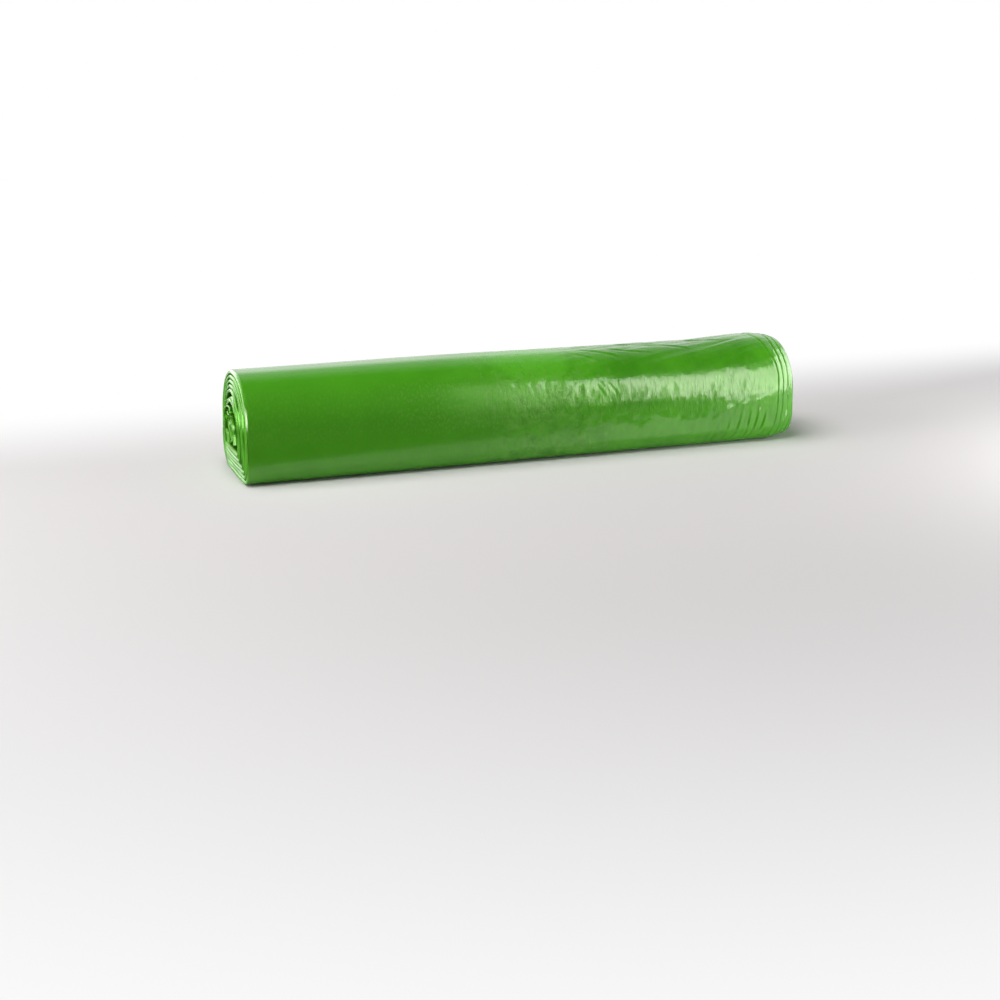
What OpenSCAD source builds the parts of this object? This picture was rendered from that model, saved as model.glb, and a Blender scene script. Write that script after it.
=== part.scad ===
// Roll of bin bags: one stack of folded bags wound up without a core.
// X runs along the roll, -Y is the front, +Z is up. The roll rests on z = 0.
// The stack starts as a thin tail at the back, climbs over the top to the front, and
// winds inwards turn by turn to a loose curl in the empty middle. Its folded edges
// make rounded lips at both ends, and inner turns stand out a little further.

/* [Roll] */
// Width of the folded stack, from its left edge to its right edge
stack_width = 350; // [250:5:450]
// Size of the roll from front to back
roll_depth = 66; // [64:0.5:80]
// Height of the roll
roll_height = 62; // [60:0.5:76]

/* [Outline] */
// Rounding over the top, from front to back
top_radius = 30.5; // [20:0.5:30.5]
// Rounding between the front and the flat underside
front_radius = 10; // [5:0.5:14]
// Rounding between the back and the flat underside
rear_radius = 16.5; // [8:0.5:20]
// Sharpest bend that the stack makes in the inner turns
crease_radius = 1.2; // [0.6:0.1:2.4]

/* [Winding] */
// Thickness of the folded stack
stack_thickness = 2.75; // [2.2:0.05:2.9]
// Air between one turn and the next
turn_gap = 0.25; // [0.15:0.05:0.4]
// Whole turns round the middle
whole_turns = 6; // [3:1:6]
// Distance that each turn stands out past the turn around it
turn_step = 0.4; // [0:0.05:0.8]
// Length of the rounding on the edges of the stack
lip_length = 1.9; // [0.8:0.1:2.2]
// Thickness of the stack at the tip of its outer tail
tail_thickness = 0.6; // [0.3:0.05:1.2]

/* [Loose middle] */
// Drop of the innermost turn below the turn above it
slack_drop = 2.5; // [0:0.1:3]
// Radius left open inside the curl at its tip
curl_radius = 4.6; // [3.6:0.1:5.4]
// Angle that the curl runs round the middle
curl_angle = 195; // [120:5:240]

/* [Gathered end] */
// Depth of the hollow along the top before the right end
waist_depth = 1.6; // [0:0.1:4]
// Distance of the hollow's lowest spot from the right end
waist_spot = 60; // [45:1:80]
// Length over which the hollow starts, measured from the right end
waist_reach = 240; // [120:5:245]
// Distance of the swelling past the hollow from the right end
bump_spot = 26; // [20:1:35]
// Length of the tapered nose at the right end
nose_length = 17; // [10:1:30]
// Amount by which the nose draws in at its tip
nose_inset = 3.1; // [0:0.1:6]
// Height of the nose's underside above the table at its tip
nose_lift = 0.6; // [0:0.1:4]
// Rounding of the lower edges at the tip of the nose
nose_radius = 16.5; // [12:0.5:24]
// Number of stepped bag edges round the nose
ridge_count = 4; // [2:1:4]
// Distance from one stepped edge to the next
ridge_spacing = 3.2; // [2.6:0.1:3.6]
// Distance of the last stepped edge from the right end
ridge_margin = 3.1; // [3.1:0.1:4.5]
// Height of each stepped edge
ridge_height = 0.5; // [0.2:0.05:0.7]

/* [Hidden] */

film_green = [0.26, 0.60, 0.11];
half_depth = roll_depth / 2;
half_height = roll_height / 2;
pitch = stack_thickness + turn_gap;
tip_pitch = tail_thickness + turn_gap;
right_edge = stack_width / 2;
ridge_foot = 0.8;
curl_travel = half_height - curl_radius - (whole_turns + 1) * pitch;

// Patches over each kind of stretch of one turn
TOP_STEPS = 6;
LOW_STEPS = 4;
SIDE_STEPS = 3;
FLOOR_STEPS = 4;

function ease(t) = let (s = min(1, max(0, t))) s * s * (3 - 2 * s);
function mix(from, to, share) = from + (to - from) * share;

// Directions from the middle to points on one rounded corner of the outline: corner 0 is
// top rear, 1 is top front, 2 is bottom front and 3 is bottom rear
function corner_rays(corner, radius, steps) =
    let (
        mid_y = (corner == 0 || corner == 3 ? 1 : -1) * (half_depth - radius),
        mid_z = (corner < 2 ? 1 : -1) * (half_height - radius)
    )
    [for (i = [0:steps])
        let (turn = 90 * (corner + i / steps))
        atan2(mid_z + radius * sin(turn), mid_y + radius * cos(turn))];

// Directions to the points that divide a straight stretch of the outline
function side_rays(from, to, steps) =
    [for (i = [1:steps - 1]) let (at = mix(from, to, i / steps)) atan2(at[1], at[0])];

// Directions of one whole turn, from low on the back, over the top, to the underside
rays = concat(
    side_rays([half_depth, rear_radius - half_height], [half_depth, half_height - top_radius], SIDE_STEPS),
    corner_rays(0, top_radius, TOP_STEPS),
    corner_rays(1, top_radius, TOP_STEPS),
    side_rays([-half_depth, half_height - top_radius], [-half_depth, front_radius - half_height], SIDE_STEPS),
    corner_rays(2, front_radius, LOW_STEPS),
    side_rays(
        [front_radius - half_depth, -half_height], [half_depth - rear_radius, -half_height], FLOOR_STEPS
    ),
    corner_rays(3, rear_radius, LOW_STEPS)
);
ray_count = len(rays);
// Rays over which each turn climbs onto the next, behind the roll
climb_rays = 5;
curl_steps = round(ray_count * curl_angle / 360);
last_step = whole_turns * ray_count + curl_steps;

// Depth below the outside that a turn has gained at a ray of the climb
function climb(ray) = mix(tip_pitch, pitch, ease(ray / climb_rays));

// Extra depth of the loose innermost turn and of the curl
function slack(step) =
    let (curled = max(0, step - whole_turns * ray_count) / curl_steps)
    step < (whole_turns - 1) * ray_count ? 0
        : slack_drop * pow(max(0, sin(rays[step % ray_count])), 2) * (1 - curled)
            + curl_travel * ease(curled);

function inner_depth(step) =
    floor(step / ray_count) * pitch + climb(step % ray_count) - turn_gap + slack(step);
function outer_depth(step) =
    max(0, (floor(step / ray_count) - 1) * pitch + climb(step % ray_count) + slack(step));

// Share of the nose's taper, and of the hollow along the top, at a place on the roll
function nose_share(x) = max(0, 1 - max(0, right_edge - x) / nose_length);
function waist_share(x) =
    let (from_end = right_edge - x)
    from_end > waist_spot
        ? ease((waist_reach - from_end) / (waist_reach - waist_spot))
        : ease((from_end - bump_spot) / (waist_spot - bump_spot));

// Cross-section at a place on the roll: half depth, half height, height of the middle,
// lower front radius, lower rear radius, and how far the turns are squeezed together
function section(x) =
    let (
        taper = pow(nose_share(x), 2),
        top = roll_height - waist_depth * waist_share(x) - nose_inset * taper,
        bottom = nose_lift * taper,
        a = half_depth - nose_inset * taper,
        b = (top - bottom) / 2
    )
    [a, b, (top + bottom) / 2,
        mix(front_radius, nose_radius, nose_share(x)),
        mix(rear_radius, nose_radius, nose_share(x)),
        min(a / half_depth, b / half_height)];

// Distance from the middle of a cross-section to a turn that lies at a depth below its outside
function reach(angle, depth, cut) =
    let (
        y = abs(cos(angle)),
        z = abs(sin(angle)),
        a = cut[0] - depth * cut[5],
        b = cut[1] - depth * cut[5],
        corner = sin(angle) > 0 ? top_radius : cos(angle) < 0 ? cut[3] : cut[4],
        r = min(a, b, max(crease_radius, corner - depth * cut[5])),
        side = y * b > z * a ? a / y : b / z,
        along = (a - r) * y + (b - r) * z
    )
    side * y > a - r && side * z > b - r
        ? along + sqrt(pow(along, 2) - pow(a - r, 2) - pow(b - r, 2) + r * r)
        : side;

function place(x, angle, depth) =
    let (cut = section(x), far = reach(angle, depth, cut))
    [x, far * cos(angle), cut[2] + far * sin(angle)];

// Stations along the stack: where each is measured from, its distance or share, its share
// of the edge's rounding, its drop below a ridge, and whether only the outermost face has it
FROM_LEFT = 0;
FROM_RIGHT = 1;
ON_PLAIN = 2;
PLAIN_STATIONS = 4;
lip_bend = 1 - cos(45);

function ridge_stations(ridge) =
    let (from_end = ridge_margin + (ridge_count - 1 - ridge) * ridge_spacing)
    [[FROM_RIGHT, from_end, 0, 0, ridge % 2 == 1],
        [FROM_RIGHT, from_end - ridge_foot, 0, ridge_height, true]];

stations = concat(
    [[FROM_LEFT, 0, 1 / 2, 0, false],
        [FROM_LEFT, lip_length * lip_bend, lip_bend / 2, 0, false],
        [FROM_LEFT, lip_length, 0, 0, false]],
    [for (i = [1:PLAIN_STATIONS]) [ON_PLAIN, i / PLAIN_STATIONS, 0, 0, false]],
    [[FROM_RIGHT, (waist_spot + bump_spot) / 2, 0, 0, false],
        [FROM_RIGHT, bump_spot, 0, 0, true]],
    [for (ridge = [0:ridge_count - 1]) each ridge_stations(ridge)],
    [[FROM_RIGHT, lip_length, 0, 0, false],
        [FROM_RIGHT, lip_length * lip_bend, lip_bend / 2, 0, false],
        [FROM_RIGHT, 0, 1 / 2, 0, false]]
);
last_station = len(stations) - 1;

function station_x(station, step) =
    let (
        stand_out = turn_step * step / ray_count,
        left = -stack_width / 2 - stand_out,
        right = right_edge + stand_out
    )
    station[0] == FROM_LEFT ? left + station[1]
        : station[0] == FROM_RIGHT ? right - station[1]
        : mix(left + lip_length, right - waist_spot, station[1]);

// The stepped edges press flat where the roll rests
function ridge_share(angle) = min(1, 3 * (1 + sin(angle)));

function face_point(step, station, from, to) =
    let (angle = rays[step % ray_count])
    place(station_x(station, step), angle, mix(from, to, station[2]));

function outside_point(step, station) =
    let (
        angle = rays[step % ray_count],
        drop = step < ray_count ? station[3] * ridge_share(angle) : 0,
        outer = outer_depth(step),
        inner = inner_depth(step)
    )
    face_point(step, station, mix(outer, inner, drop / stack_thickness), inner);

function inside_point(step, station) =
    face_point(step, station, inner_depth(step), outer_depth(step));

// Station that a face really has: inner faces pass over the ridges
function used(index, ridged) = stations[index][4] && !ridged ? used(index - 1, ridged) : index;
function outside(step, index) =
    step * 2 * (last_station + 1) + used(index, step < ray_count);
function inside(step, index) =
    index == 0 || index == last_station ? outside(step, index)
        : (step * 2 + 1) * (last_station + 1) + used(index, false);

// Two triangles for a patch, less those that have no area
function patch(a, b, c, d) =
    [if (a != b && b != c && c != a) [a, b, c], if (a != c && c != d && d != a) [a, c, d]];

module bag_roll() {
    points = [for (step = [0:last_step]) each concat(
        [for (station = stations) outside_point(step, station)],
        [for (station = stations) inside_point(step, station)]
    )];
    turns = [for (step = [0:last_step - 1], i = [0:last_station - 1]) each concat(
        patch(outside(step, i), outside(step, i + 1), outside(step + 1, i + 1), outside(step + 1, i)),
        patch(inside(step, i), inside(step + 1, i), inside(step + 1, i + 1), inside(step, i + 1))
    )];
    ends = [for (i = [0:last_station - 1]) each concat(
        patch(outside(0, i), inside(0, i), inside(0, i + 1), outside(0, i + 1)),
        patch(
            outside(last_step, i), outside(last_step, i + 1),
            inside(last_step, i + 1), inside(last_step, i)
        )
    )];
    color(film_green)
        polyhedron(points = points, faces = concat(turns, ends), convexity = 2 * whole_turns + 4);
}

bag_roll();
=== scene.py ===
"""Looks of a roll of bin bags: one stack of folded bags, wound up without a core.

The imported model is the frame: X runs along the roll, -Y is the front, +Z is up, in metres.
The stack is modelled flat, as a long slab whose grid counts stations along the roll and
steps of the winding. Then it is wound up, and its outermost turn is wrinkled.
"""

import logging
import math
from dataclasses import dataclass
from enum import Enum
from typing import Any, Callable, Iterable, Sequence

import bpy
import numpy as np
from mathutils import Euler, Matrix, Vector, noise


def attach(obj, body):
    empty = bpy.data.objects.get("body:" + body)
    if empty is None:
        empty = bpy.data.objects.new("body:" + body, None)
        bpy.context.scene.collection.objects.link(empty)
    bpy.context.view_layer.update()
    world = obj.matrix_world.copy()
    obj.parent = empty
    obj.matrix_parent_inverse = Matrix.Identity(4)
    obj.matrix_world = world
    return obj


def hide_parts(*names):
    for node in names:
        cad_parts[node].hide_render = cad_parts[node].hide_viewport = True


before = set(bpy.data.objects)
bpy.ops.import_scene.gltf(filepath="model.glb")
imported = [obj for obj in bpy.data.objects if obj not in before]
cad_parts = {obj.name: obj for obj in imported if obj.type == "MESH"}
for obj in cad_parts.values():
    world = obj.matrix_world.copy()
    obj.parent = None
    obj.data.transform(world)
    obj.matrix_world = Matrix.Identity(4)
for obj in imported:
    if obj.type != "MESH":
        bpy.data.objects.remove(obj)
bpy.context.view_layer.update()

LOG = logging.getLogger("bag_roll")
MM = 0.001
NODE = "bag_roll"
BODY = "root"
# How far a seed moves the noise along each axis, in cells
SEED_SHIFTS = (17.3, -17.3, 0.37)
# Gain that brings creased noise to about 1 between its creases
CREASED_GAIN = 1.8
# Spots that a smooth path has between two of its points
SPAN_SPOTS = 24
# Height of the middle of a flat slab's wall, and the distance at which two of its places
# count as level
MID_WALL = -0.5
LEVEL = 0.1
# Vertices closer than this are one
WELD = 0.004 * MM

Array = np.ndarray
Colour = tuple[float, float, float, float]
Pair = tuple[float, float]
Path = tuple[Pair, ...]
# Where a zone starts, is full, begins to fade and ends
Zone = tuple[float, float, float, float]


def ease(value: Array) -> Array:
    """Returns a smooth rise from 0 to 1 as value goes from 0 to 1."""
    share = np.clip(value, 0.0, 1.0)
    return share * share * (3.0 - 2.0 * share)


def mix(start: Array, end: Array, share: Array) -> Array:
    """Returns the value that lies at a share of the way from start to end."""
    return start + (end - start) * share


def ramp(value: Array, start: float, end: float) -> Array:
    """Returns a smooth rise from 0 to 1 between two places, given in millimetres."""
    return ease((value / MM - start) / (end - start))


def zone(value: Array, start: float, full: float, fading: float, end: float) -> Array:
    """Returns the share of a zone whose four places are given in millimetres."""
    return ramp(value, start, full) * ramp(value, end, fading)


def grain(*axes: Array, seed: float = 0.0) -> Array:
    """Samples smooth noise between -1 and 1.

    Args:
        axes: Up to three arrays of coordinates, in cells of the noise.
        seed: Shift that gives each use its own pattern.

    Returns:
        One value for each point.
    """
    columns = [np.asarray(axis, float) for axis in axes]
    while len(columns) < 3:
        columns.append(np.zeros_like(columns[0]))
    moved = [column + shift * seed for column, shift in zip(columns, SEED_SHIFTS)]
    return np.array([noise.noise(point) for point in zip(*moved)])


def smooth_path(points: Sequence[tuple[float, float]], count: int) -> Array:
    """Draws a smooth curve through points.

    Args:
        points: Places that the curve passes through, in order.
        count: Number of evenly spaced places to return.

    Returns:
        An array of places along the curve, one row each.
    """
    knots = np.array(points, float)
    knots = np.vstack([2 * knots[0] - knots[1], knots, 2 * knots[-1] - knots[-2]])
    share = np.linspace(0.0, 1.0, SPAN_SPOTS, endpoint=False)[:, None]
    pieces = []
    for before, start, end, after in zip(knots, knots[1:], knots[2:], knots[3:]):
        pieces.append(0.5 * (
            2 * start + (end - before) * share
            + (2 * before - 5 * start + 4 * end - after) * share ** 2
            + (3 * start - before - 3 * end + after) * share ** 3
        ))
    curve = np.vstack([*pieces, knots[-2:-1]])
    along = np.concatenate([[0.0], np.cumsum(np.linalg.norm(np.diff(curve, axis=0), axis=1))])
    spots = np.linspace(0.0, along[-1], count)
    return np.column_stack([np.interp(spots, along, curve[:, axis]) for axis in range(2)])


def headings(path: Array) -> Array:
    """Returns the unit direction at each row of a path."""
    steps = np.gradient(path, axis=0)
    return steps / np.linalg.norm(steps, axis=1)[:, None]


class Select(Enum):
    """What is selected in edit mode, as the switches for vertices, edges and faces."""

    VERTICES = (True, False, False)
    EDGES = (False, True, False)


@dataclass(frozen=True)
class Section:
    """Cross-sections of the roll at a number of places along it."""

    half_depth: Array
    half_height: Array
    middle: Array
    front_radius: Array
    rear_radius: Array
    squeeze: Array


@dataclass(frozen=True)
class Winding:
    """The spiral that the folded stack takes, with the sizes that drive it."""

    width: float = 350 * MM
    depth: float = 66 * MM
    height: float = 62 * MM
    top_radius: float = 30.5 * MM
    front_radius: float = 10 * MM
    rear_radius: float = 16.5 * MM
    crease_radius: float = 1.2 * MM
    thickness: float = 2.75 * MM
    gap: float = 0.25 * MM
    whole_turns: int = 6
    curl_turns: float = 0.5
    turn_step: float = 0.4 * MM
    lip: float = 2.4 * MM
    tail_thickness: float = 0.6 * MM
    tail_height: float = 21.5 * MM
    climb_length: float = 26 * MM
    top_pull: float = 0.14
    floor_pull: float = 0.10
    lip_droop: float = 0.3
    waist_depth: float = 1.6 * MM
    waist_spot: float = 60 * MM
    waist_reach: float = 240 * MM
    bump_spot: float = 26 * MM
    nose_length: float = 17 * MM
    nose_inset: float = 3.1 * MM
    nose_lift: float = 0.6 * MM
    nose_radius: float = 16.5 * MM
    end_reach: float = 30 * MM
    corner_points: int = 61
    # The innermost whole turn has come loose: how far its outer and inner faces sink over
    # the top, and how far they gape at the back
    loose_crest: Pair = (0.4 * MM, 2.6 * MM)
    loose_gape: Pair = (2.2 * MM, 1.6 * MM)
    gape_angle: float = math.radians(58)
    gape_power: int = 6
    # Turns lie a little unevenly on each other
    unevenness: float = 0.28 * MM
    uneven_cells: float = 2.1
    # Wander of the edges along the roll, all round and more at the front, with its cells
    # round the roll and per turn
    edge_wander: Pair = (0.45 * MM, 0.75 * MM)
    wander_cells: Pair = (1.3, 1.9)
    # Middle of the curl that the innermost plies make, in a plain cross-section
    curl_path: Path = (
        (15.8, 26.5), (16.0, 31.0), (14.8, 35.6), (11.2, 39.0), (5.6, 40.2), (0.8, 39.7),
        (-1.5, 38.2), (-0.4, 36.6), (3.2, 36.1), (6.8, 36.9),
    )
    curl_thickness: float = 1.3 * MM
    curl_points: int = 200
    # Shares of the curl over which it leaves the spiral and thins out
    curl_leaving: float = 0.2
    curl_thinning: float = 0.4

    @property
    def pitch(self) -> float:
        """Distance from one turn to the next."""
        return self.thickness + self.gap

    @property
    def last_turn(self) -> float:
        """Number of turns up to the tip of the curl."""
        return self.whole_turns + self.curl_turns

    def outline(self) -> tuple[Array, Array]:
        """Walks once round the plain outline, from the tail at the back over the top.

        Returns:
            The distance walked and the direction from the middle at each spot, in radians.
        """
        half_depth, half_height = self.depth / 2, self.height / 2
        corners = (
            (1, 1, self.top_radius), (-1, 1, self.top_radius),
            (-1, -1, self.front_radius), (1, -1, self.rear_radius),
        )
        start = (half_depth, self.tail_height - half_height)
        spots = [start]
        for corner, (side, level, radius) in enumerate(corners):
            for turn in np.radians(90 * corner + np.linspace(0, 90, self.corner_points)):
                spots.append((
                    side * (half_depth - radius) + radius * math.cos(turn),
                    level * (half_height - radius) + radius * math.sin(turn),
                ))
        spots.append(start)
        places = np.array(spots)
        walked = np.cumsum(np.linalg.norm(np.diff(places, axis=0), axis=1))
        angles = np.unwrap(np.arctan2(places[:, 1], places[:, 0]))
        return np.concatenate([[0.0], walked]), angles

    def walk(self, turn: Array) -> tuple[Array, Array, Array]:
        """Finds where a number of turns has come to.

        Args:
            turn: Turns from the tip of the tail.

        Returns:
            Whole turns done, the distance walked in this turn and the direction there.
        """
        walked, angles = self.outline()
        whole = np.floor(turn)
        far = (turn - whole) * walked[-1]
        return whole, far, np.interp(far, walked, angles)

    def girth(self, turn: Array) -> Array:
        """Returns the distance round the outline from the top, positive towards the front."""
        walked, angles = self.outline()
        top = float(np.interp(math.pi / 2, angles, walked))
        return (turn - np.floor(turn)) * walked[-1] - top

    def nose_share(self, x: Array) -> Array:
        """Returns the share of the nose's taper at places along the roll."""
        return np.clip(1 - np.maximum(0, self.width / 2 - x) / self.nose_length, 0, 1)

    def waist_share(self, x: Array) -> Array:
        """Returns the share of the hollow along the top at places along the roll."""
        from_end = self.width / 2 - x
        rise = ease((self.waist_reach - from_end) / (self.waist_reach - self.waist_spot))
        fall = ease((from_end - self.bump_spot) / (self.waist_spot - self.bump_spot))
        return np.where(from_end > self.waist_spot, rise, fall)

    def section(self, x: Array) -> Section:
        """Works out the cross-sections at places along the roll.

        Args:
            x: Places along the roll.

        Returns:
            The cross-sections, with the hollow along the top and the tapered nose.
        """
        share = self.nose_share(x)
        taper = share ** 2
        top = self.height - self.waist_depth * self.waist_share(x) - self.nose_inset * taper
        bottom = self.nose_lift * taper
        half_depth = self.depth / 2 - self.nose_inset * taper
        half_height = (top - bottom) / 2
        return Section(
            half_depth, half_height, (top + bottom) / 2,
            mix(self.front_radius, self.nose_radius, share),
            mix(self.rear_radius, self.nose_radius, share),
            np.minimum(half_depth / (self.depth / 2), half_height / (self.height / 2)),
        )

    def reach(self, angle: Array, depth: Array, cut: Section) -> Array:
        """Measures from the middle of cross-sections out to a turn.

        Args:
            angle: Directions from the middle, in radians.
            depth: Depths of the turn below the outline.
            cut: The cross-sections.

        Returns:
            The distances from the middle.
        """
        y, z = np.abs(np.cos(angle)), np.abs(np.sin(angle))
        a = cut.half_depth - depth * cut.squeeze
        b = cut.half_height - depth * cut.squeeze
        lower = np.where(np.cos(angle) < 0, cut.front_radius, cut.rear_radius)
        corner = np.where(np.sin(angle) > 0, self.top_radius, lower)
        rounding = np.maximum(self.crease_radius, corner - depth * cut.squeeze)
        radius = np.minimum(np.minimum(a, b), rounding)
        side = np.where(y * b > z * a, a / np.maximum(y, 1e-9), b / np.maximum(z, 1e-9))
        along = (a - radius) * y + (b - radius) * z
        under = along ** 2 - (a - radius) ** 2 - (b - radius) ** 2 + radius ** 2
        rounded = along + np.sqrt(np.maximum(under, 0))
        in_corner = (side * y > a - radius) & (side * z > b - radius)
        return np.where(in_corner, rounded, side)

    def depths(self, turn: Array) -> tuple[Array, Array]:
        """Works out how deep the stack lies below the outline.

        Args:
            turn: Turns from the tip of the tail.

        Returns:
            The depths of the stack's outer face and of its inner face.
        """
        whole, far, angle = self.walk(turn)
        tip = self.tail_thickness + self.gap
        climb = mix(tip, self.pitch, ease(far / self.climb_length))
        outer = np.maximum(0, (whole - 1) * self.pitch + climb)
        inner = whole * self.pitch + climb - self.gap
        crest = np.maximum(0, np.sin(angle)) ** 2
        sole = np.maximum(0, -np.sin(angle)) ** 2
        pull = 1 - self.top_pull * crest - self.floor_pull * sole
        outer, inner = outer * pull, inner * pull
        loose = (whole == self.whole_turns - 1).astype(float)
        gape = np.maximum(0, np.cos(angle - self.gape_angle)) ** self.gape_power
        outer = outer + loose * (self.loose_crest[0] * crest + self.loose_gape[0] * gape)
        inner = inner + loose * (self.loose_crest[1] * crest + self.loose_gape[1] * gape)
        around = self.uneven_cells
        uneven = grain(around * np.cos(angle), around * np.sin(angle), turn, seed=3)
        settled = ease(outer / (2 * self.pitch)) * self.unevenness * uneven
        return outer + settled, inner + settled * ease(inner / (4 * self.pitch))

    def lip_share(self, turn: Array, rounding: Array, outside: Array) -> Array:
        """Rounds the stack's edges to lips, whose tips droop.

        Args:
            turn: Turns from the tip of the tail.
            rounding: Share of the lip's rounding, 0 on the plain stack and 1 at the tip.
            outside: Whether each point is on the stack's outer face.

        Returns:
            The share of the thickness at which each point lies.
        """
        held = np.clip((self.last_turn - turn) / self.curl_turns, 0, 1)
        angle = self.walk(np.minimum(turn, self.last_turn))[2]
        tip = 0.5 + self.lip_droop * held * np.sin(angle)
        return np.where(outside, rounding * tip, 1 - rounding * (1 - tip))

    def end_shift(self, turn: Array, x: Array) -> Array:
        """Works out how far the stack stands out along the roll, near its edges.

        Args:
            turn: Turns from the tip of the tail.
            x: Places along the roll.

        Returns:
            The shifts along the roll.
        """
        angle = self.walk(turn)[2]
        reach = np.clip((np.abs(x) - self.width / 2 + self.end_reach) / self.end_reach, 0, 1)
        side = np.sign(x)
        loose = self.edge_wander[0] + self.edge_wander[1] * np.maximum(0, -np.cos(angle))
        around, onward = self.wander_cells
        spots = (around * np.cos(angle), around * np.sin(angle), onward * turn + side)
        stand_out = self.turn_step * turn + loose * grain(*spots, seed=5) * ease(turn)
        return side * stand_out * reach

    def fit(self, y: Array, z: Array, cut: Section) -> tuple[Array, Array]:
        """Fits points of a plain cross-section into other cross-sections."""
        fitted_y = y * cut.half_depth / (self.depth / 2)
        return fitted_y, cut.middle + (z - self.height / 2) * cut.half_height / (self.height / 2)

    def place(self, x: Array, turn: Array, share: Array) -> Array:
        """Winds points of the flat stack up.

        Args:
            x: Places along the roll.
            turn: Turns from the tip of the tail.
            share: Share of the stack's thickness, 0 on its outer face and 1 on its inner.

        Returns:
            The points' coordinates, one row each.
        """
        cut = self.section(x)
        on_turn = np.minimum(turn, self.last_turn)
        outer, inner = self.depths(on_turn)
        angle = self.walk(on_turn)[2]
        far = self.reach(angle, mix(outer, inner, share), cut)
        wound_y, wound_z = far * np.cos(angle), cut.middle + far * np.sin(angle)
        done = np.clip((turn - self.whole_turns) / self.curl_turns, 0, 1)
        curl_y, curl_z = self.fit(*self.curl(done, share), cut)
        curled = np.where(turn > self.whole_turns, ease(done / self.curl_leaving), 0.0)
        return np.column_stack([x, mix(wound_y, curl_y, curled), mix(wound_z, curl_z, curled)])

    def curl(self, done: Array, share: Array) -> tuple[Array, Array]:
        """Lays points on the loose curl, in a plain cross-section.

        Args:
            done: Shares of the curl's length.
            share: Shares of its thickness, 0 on its outer face and 1 on its inner.

        Returns:
            The points' Y and Z.
        """
        path = smooth_path(self.curl_path, self.curl_points) * MM
        spot = done * (self.curl_points - 1)
        rows = (*path.T, *headings(path).T)
        at_y, at_z, way_y, way_z = (np.interp(spot, np.arange(self.curl_points), row) for row in rows)
        thick = mix(self.thickness, self.curl_thickness, ease(done / self.curl_thinning))
        outwards = (0.5 - share) * thick
        return at_y + way_z * outwards, at_z - way_y * outwards


@dataclass(frozen=True)
class Crease:
    """A crease in the outermost turn, drawn as a line on the unrolled film.

    Each point holds the place along the roll and the girth from the top, in millimetres.
    """

    points: Path
    height: float
    width: float
    path_points: int = 60
    # Width of the crease's field, and place and depth of its valley, in widths and heights
    field: float = 3.2
    valley_place: float = 1.3
    valley_depth: float = 0.8
    # Shares of the path over which the crease rises and fades
    rising: float = 0.4
    fading: float = 0.25

    def lift(self, x: Array, girth: Array) -> Array:
        """Raises a ridge with a valley on its right.

        Args:
            x: Places along the roll.
            girth: Distances round the outline from the top.

        Returns:
            How far the crease lifts the film at each place.
        """
        path = smooth_path(self.points, self.path_points) * MM
        lifted = np.zeros_like(x)
        reach = self.field * self.width * MM
        low, high = path.min(axis=0) - reach, path.max(axis=0) + reach
        near = np.flatnonzero((x > low[0]) & (x < high[0]) & (girth > low[1]) & (girth < high[1]))
        if not len(near):
            return lifted
        gap_x = x[near, None] - path[None, :, 0]
        gap_g = girth[near, None] - path[None, :, 1]
        distance = np.hypot(gap_x, gap_g)
        nearest = distance.argmin(axis=1)
        rows = np.arange(len(near))
        heading = np.gradient(path, axis=0)
        side = heading[nearest, 1] * gap_x[rows, nearest] - heading[nearest, 0] * gap_g[rows, nearest]
        offset = np.sign(side) * distance[rows, nearest] / (self.width * MM)
        along = nearest / (len(path) - 1)
        share = ease(along / self.rising) * ease((1 - along) / self.fading)
        valley = self.valley_depth * np.exp(-(offset - self.valley_place) ** 2)
        lifted[near] = self.height * MM * share * (np.exp(-offset ** 2) - valley)
        return lifted


@dataclass(frozen=True)
class Pattern:
    """Relief in cells on the unrolled film, with sizes and heights in millimetres."""

    seed: int
    cell_length: float
    cell_girth: float
    height: float
    calm_height: float = 0.0
    creased: bool = False
    # Slant of the cells: shares of the girth, from one girth on, and of the length
    lean: float = 0.0
    lean_from: float = 0.0
    twist: float = 0.0

    def lift(self, x: Array, girth: Array, share: Array) -> Array:
        """Raises the pattern's cells.

        Args:
            x: Places along the roll.
            girth: Distances round the outline from the top.
            share: Shares of the way from the calm height to the full one.

        Returns:
            How far the pattern lifts the film at each place.
        """
        across = (x + self.lean * (girth - self.lean_from * MM)) / (self.cell_length * MM)
        down = (girth + self.twist * x) / (self.cell_girth * MM)
        values = grain(across, down, seed=self.seed)
        if self.creased:
            values = np.abs(values) * CREASED_GAIN
        return values * mix(self.calm_height, self.height, share) * MM


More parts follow.
